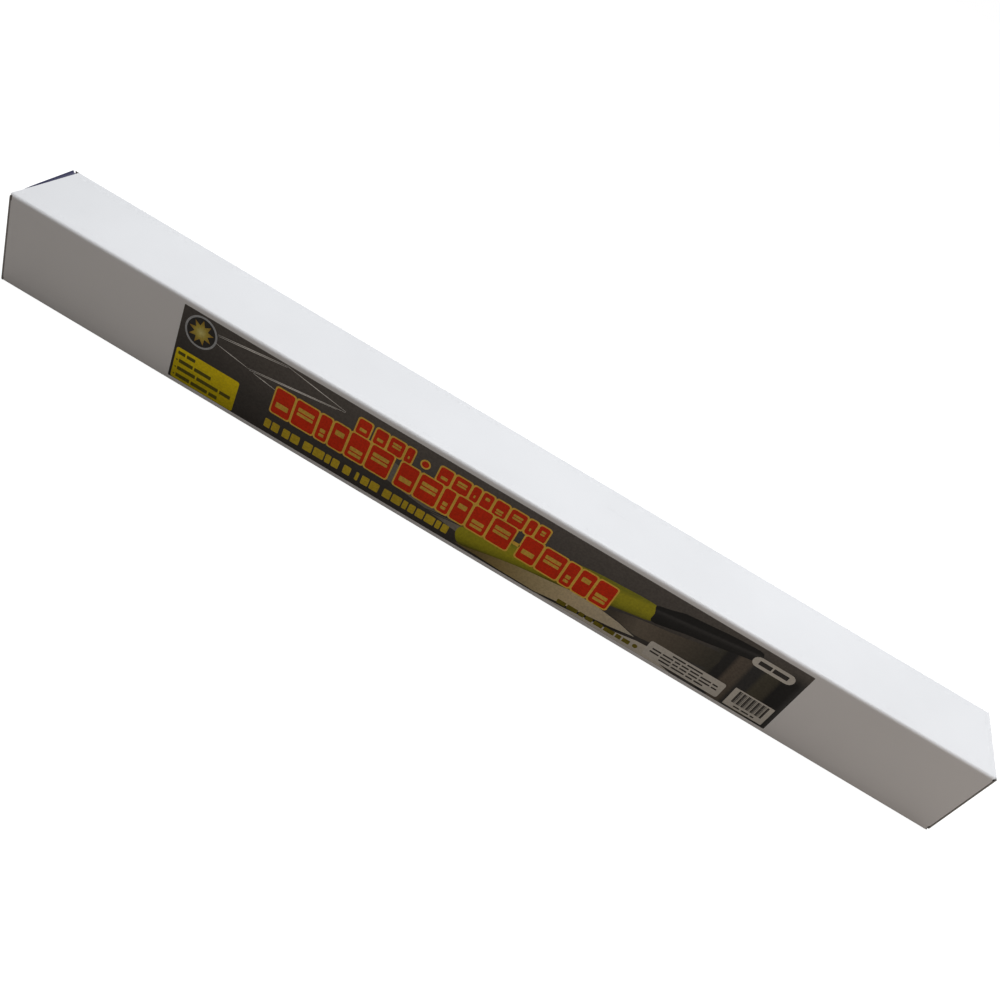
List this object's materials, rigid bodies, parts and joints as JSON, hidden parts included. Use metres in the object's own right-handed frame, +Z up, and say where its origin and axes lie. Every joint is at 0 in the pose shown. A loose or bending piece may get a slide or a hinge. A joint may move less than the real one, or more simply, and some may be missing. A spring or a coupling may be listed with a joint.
{
  "type": "traffic baton light",
  "caption": "Slim white tuck-end carton with a printed front label, holding a traffic signal baton: lime light tube, black battery handle, sliding switch and screw cap.",
  "frame": {"origin": "middle of the closed carton's bottom face, level with what it rests on", "axes": "+X along the carton to the end whose lid hangs from the top panel (the end the baton's light tube points at), -Y out of the labelled front, +Z up"},
  "size_m": [0.61, 0.0517, 0.056],
  "materials": {
    "white_board": "smooth coated white paperboard",
    "label_print": "semi-gloss printed label",
    "black_plastic": "fine moulded texture",
    "satin_grey": "satin moulded",
    "grey_plastic": "plain moulded",
    "white_plastic": "plain moulded",
    "blue_plastic": "moulded switch housing",
    "button_red": "glossy moulded",
    "lime_tube": "translucent tinted, glossy",
    "spring_steel": "nickel plated",
    "contact_brass": "drawn strip",
    "seal_rubber": "moulded",
    "board_green": "solder-masked fibreglass board",
    "led_clear": "clear cast resin",
    "resistor_tan": "banded lacquer",
    "red_lead": "insulated lead",
    "black_lead": "insulated lead"
  },
  "bodies": {
    "carton": {"top_panel": "white_board", "bottom_panel": "white_board", "front_panel": "white_board", "back_panel": "white_board", "glue_flap": "white_board", "label": "label_print"},
    "right_lid": {"right_lid": "white_board"},
    "right_tuck": {"right_tuck": "white_board"},
    "right_front_dust_flap": {"right_front_dust_flap": "white_board"},
    "right_back_dust_flap": {"right_back_dust_flap": "white_board"},
    "left_lid": {"left_lid": "white_board"},
    "left_tuck": {"left_tuck": "white_board"},
    "left_front_dust_flap": {"left_front_dust_flap": "white_board"},
    "left_back_dust_flap": {"left_back_dust_flap": "white_board"},
    "baton": {"seal_ring": "seal_rubber", "handle": "black_plastic", "bulkhead": "grey_plastic", "positive_contact": "contact_brass", "ground_strip": "contact_brass", "switch_plate": "satin_grey", "switch_module": "blue_plastic", "contact_leaf": "contact_brass", "rear_screw": "spring_steel", "front_screw": "spring_steel", "head_collar": "black_plastic", "light_tube": "lime_tube", "rear_holder": "white_plastic", "middle_holder": "white_plastic", "front_holder": "white_plastic", "lamp_board": "board_green", "led_1": "led_clear", "led_2": "led_clear", "led_3": "led_clear", "led_4": "led_clear", "led_5": "led_clear", "led_6": "led_clear", "resistor_1": "resistor_tan", "resistor_2": "resistor_tan", "resistor_3": "resistor_tan", "resistor_4": "resistor_tan", "resistor_5": "resistor_tan", "resistor_6": "resistor_tan", "flasher_chip": "black_plastic", "red_lead": "red_lead", "black_lead": "black_lead"},
    "tail_contact": {"contact_plate": "spring_steel", "tail_spring": "spring_steel"},
    "tail_cap": {"tail_cap": "black_plastic"},
    "switch_slider": {"switch_slider": "black_plastic"},
    "push_button": {"push_button": "button_red"}
  },
  "joints": [
    {"name": "baton_slide", "type": "slide", "parent": "carton", "child": "baton", "axis": [1, 0, 0], "range_m": [0, 0.137]},
    {"name": "right_lid_hinge", "type": "hinge", "parent": "carton", "child": "right_lid", "pos_m": [0.305, 0, 0.056], "axis": [0, -1, 0], "range_deg": [0, 175]},
    {"name": "right_tuck_fold", "type": "hinge", "parent": "right_lid", "child": "right_tuck", "pos_m": [0.305, 0, 0.0009], "axis": [0, -1, 0], "range_deg": [0, 35]},
    {"name": "right_front_dust_fold", "type": "hinge", "parent": "carton", "child": "right_front_dust_flap", "pos_m": [0.3041, -0.02575, 0.028], "axis": [0, 0, -1], "range_deg": [0, 175]},
    {"name": "right_back_dust_fold", "type": "hinge", "parent": "carton", "child": "right_back_dust_flap", "pos_m": [0.3041, 0.02575, 0.028], "axis": [0, 0, 1], "range_deg": [0, 175]},
    {"name": "left_lid_hinge", "type": "hinge", "parent": "carton", "child": "left_lid", "pos_m": [-0.305, 0, 0], "axis": [0, -1, 0], "range_deg": [0, 90]},
    {"name": "left_tuck_fold", "type": "hinge", "parent": "left_lid", "child": "left_tuck", "pos_m": [-0.305, 0, 0.0551], "axis": [0, -1, 0], "range_deg": [0, 18]},
    {"name": "left_front_dust_fold", "type": "hinge", "parent": "carton", "child": "left_front_dust_flap", "pos_m": [-0.3041, -0.02575, 0.028], "axis": [0, 0, 1], "range_deg": [0, 90]},
    {"name": "left_back_dust_fold", "type": "hinge", "parent": "carton", "child": "left_back_dust_flap", "pos_m": [-0.3041, 0.02575, 0.028], "axis": [0, 0, -1], "range_deg": [0, 90]},
    {"name": "cap_travel", "type": "slide", "parent": "baton", "child": "tail_contact", "axis": [-1, 0, 0], "range_m": [0, 0.006]},
    {"name": "cap_turn", "type": "hinge", "parent": "tail_contact", "child": "tail_cap", "pos_m": [-0.274, 0, 0.01995], "axis": [-1, 0, 0], "range_deg": [0, 720]},
    {"name": "switch_slide", "type": "slide", "parent": "baton", "child": "switch_slider", "axis": [1, 0, 0], "range_m": [0, 0.005]},
    {"name": "button_press", "type": "slide", "parent": "baton", "child": "push_button", "axis": [0, 0, -1], "range_m": [0, 0.0015], "stiffness_N_per_m": 600}
  ],
  "couplings": [
    {"joint": "right_lid_hinge", "follows": "baton_slide", "rad_per_m": 22.25},
    {"joint": "right_tuck_fold", "follows": "baton_slide", "rad_per_m": 4.45},
    {"joint": "right_front_dust_fold", "follows": "baton_slide", "rad_per_m": 22.25},
    {"joint": "right_back_dust_fold", "follows": "baton_slide", "rad_per_m": 22.25},
    {"joint": "left_tuck_fold", "follows": "left_lid_hinge", "ratio": 0.2},
    {"joint": "left_front_dust_fold", "follows": "left_lid_hinge", "ratio": 1},
    {"joint": "left_back_dust_fold", "follows": "left_lid_hinge", "ratio": 1},
    {"joint": "cap_travel", "follows": "cap_turn", "m_per_rad": 0.000477}
  ]
}
